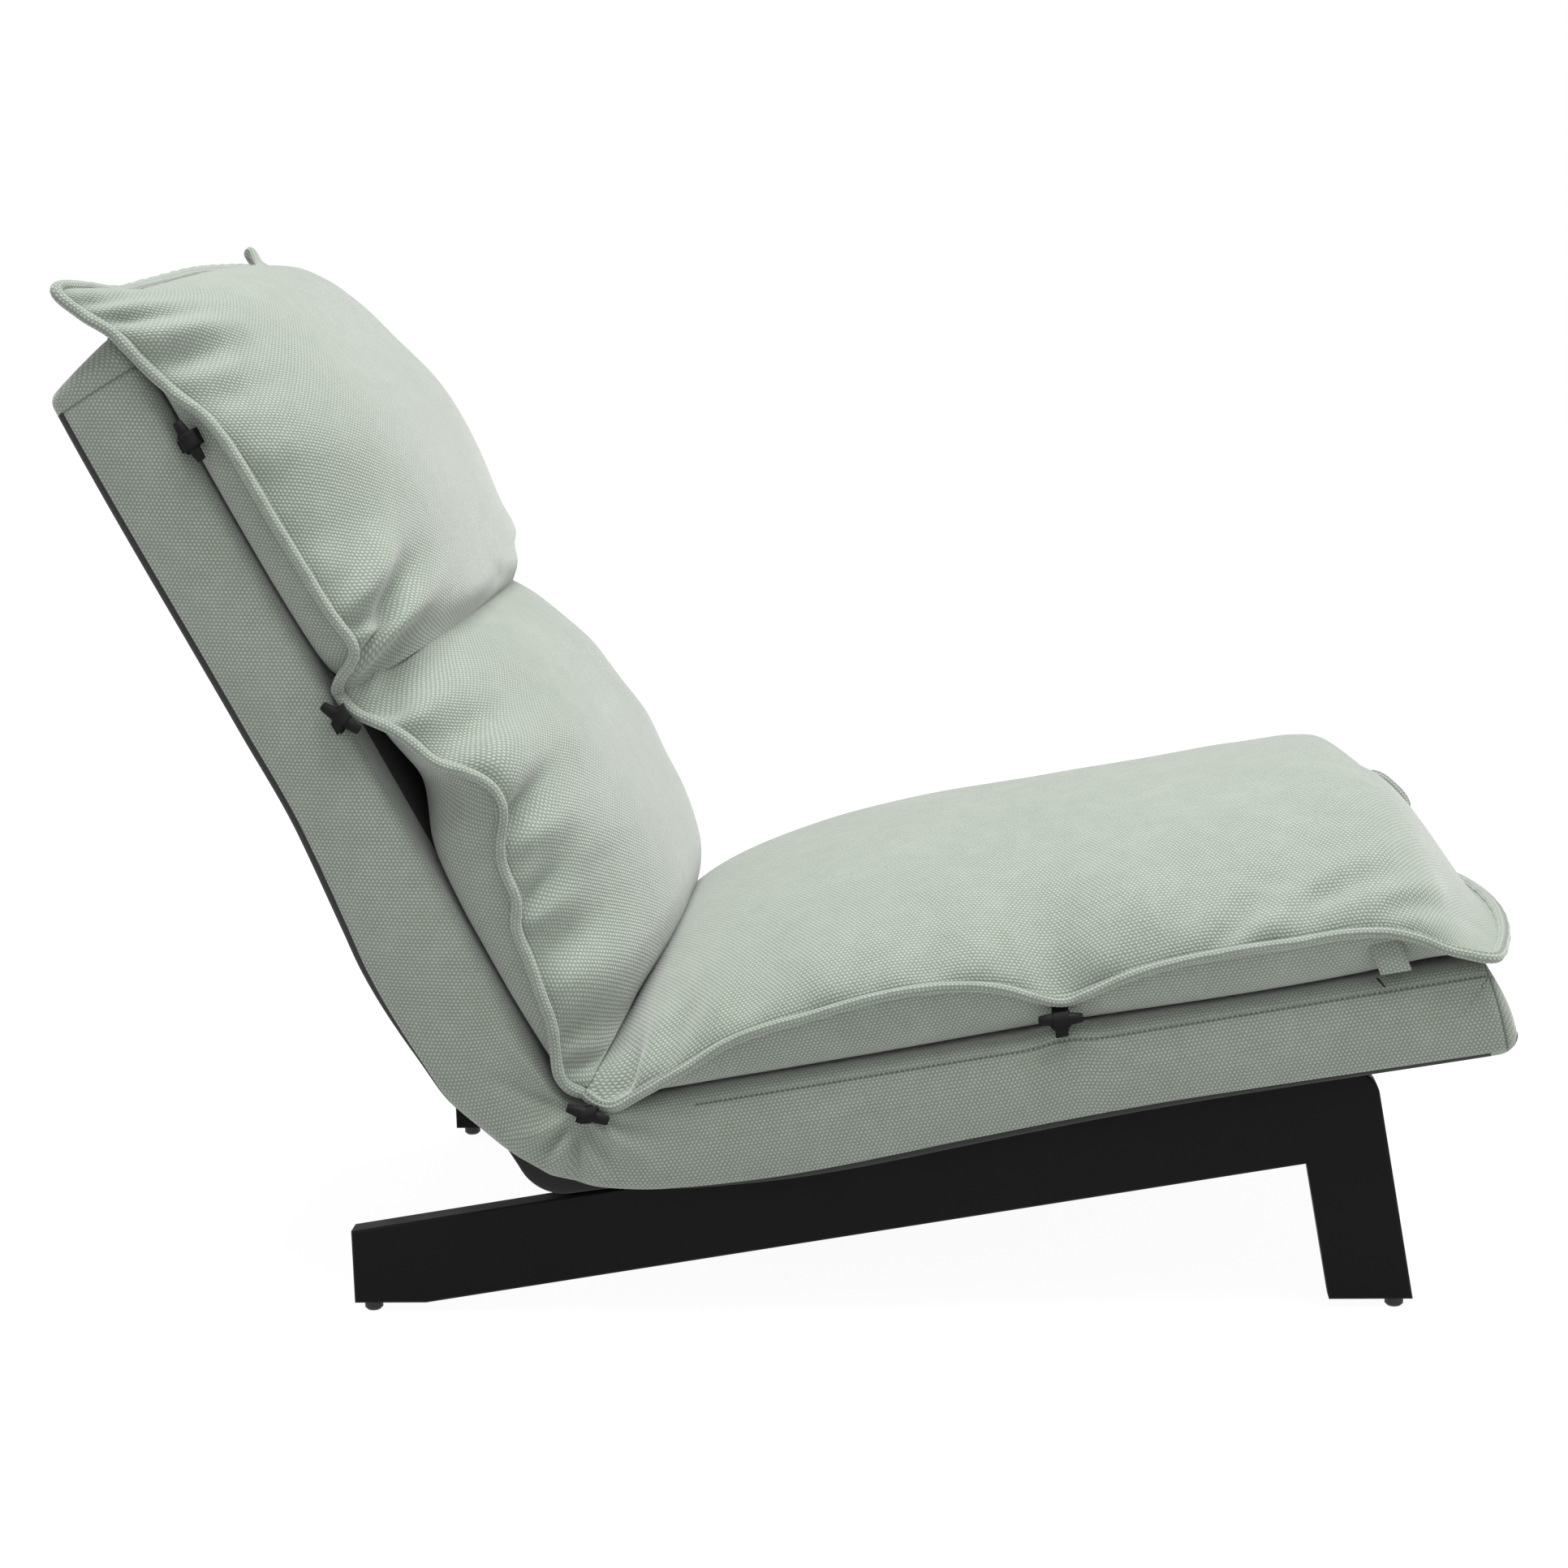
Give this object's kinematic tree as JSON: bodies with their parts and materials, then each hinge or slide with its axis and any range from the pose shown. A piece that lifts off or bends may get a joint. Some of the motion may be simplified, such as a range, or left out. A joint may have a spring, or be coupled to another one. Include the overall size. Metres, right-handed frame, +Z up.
{
  "type": "floor chair",
  "caption": "Low lounge chair: a padded shell that reclines on hidden ratchet hinges, a sectioned cushion topper tied on with toggles, and a sloping black wooden base.",
  "frame": {"origin": "on the floor, under the middle of the chair's length and width", "axes": "+X to the sitter's front, +Y to the sitter's left, +Z up"},
  "size_m": [1.1274, 0.6166, 0.8595],
  "materials": {
    "board": "satin",
    "biscuit": "matte",
    "glide": "satin",
    "hardware": "satin",
    "frame_paint": "satin",
    "webbing": "matte",
    "foam": "matte",
    "green_cloth": "matte",
    "black_cloth": "matte",
    "toggle": "satin",
    "strap": "matte"
  },
  "bodies": {
    "base": {"right_side_rail": "board", "left_side_rail": "board", "right_front_leg": "board", "left_front_leg": "board", "front_stretcher": "board", "rear_stretcher": "board", "mitre_biscuits": "biscuit", "front_glides": "glide", "rear_glides": "glide", "frame_bolts": "hardware", "hinge_forks": "hardware", "hinge_pivots": "hardware", "pawl_pins": "hardware", "pawl_springs": "hardware", "seat_frame": "frame_paint", "seat_webbing": "webbing", "seat_pad_top": "foam", "seat_pad_bottom": "foam", "bend_foam": "foam", "seat_cover": "green_cloth", "bend_cover": "green_cloth", "seat_cushion": "green_cloth", "front_tabs": "green_cloth", "seat_top_cloth": "black_cloth", "seat_underside_cloth": "black_cloth", "bend_cloth": "black_cloth", "seat_toggles": "toggle", "crease_toggles": "toggle", "seat_straps": "strap", "crease_straps": "strap", "seat_loops": "strap", "crease_loops": "strap"},
    "backrest": {"hinge_tongues": "hardware", "back_frame": "frame_paint", "back_webbing": "webbing", "back_pad_front": "foam", "back_pad_rear": "foam", "back_cover": "green_cloth", "back_front_cloth": "black_cloth", "back_rear_cloth": "black_cloth", "lumbar_cushion": "green_cloth", "head_cushion": "green_cloth", "back_toggles": "toggle", "back_straps": "strap", "back_loops": "strap", "head_toggles": "toggle", "head_straps": "strap", "head_loops": "strap"},
    "left_pawl": {"left_pawl": "hardware"},
    "right_pawl": {"right_pawl": "hardware"}
  },
  "joints": [
    {"name": "backrest_recline", "type": "hinge", "parent": "base", "child": "backrest", "pos_m": [-0.20187, 0, 0.1364], "axis": [0, -1, 0], "range_deg": [0, 69], "deforming": ["bend_cover", "bend_cloth"]},
    {"name": "left_pawl_drop", "type": "hinge", "parent": "base", "child": "left_pawl", "pos_m": [-0.1816, 0.249, 0.16188], "axis": [0, -1, 0], "range_deg": [-10, 0], "deforming": ["pawl_springs"]},
    {"name": "right_pawl_drop", "type": "hinge", "parent": "base", "child": "right_pawl", "pos_m": [-0.1816, -0.249, 0.16188], "axis": [0, -1, 0], "range_deg": [-10, 0], "deforming": ["pawl_springs"]}
  ]
}
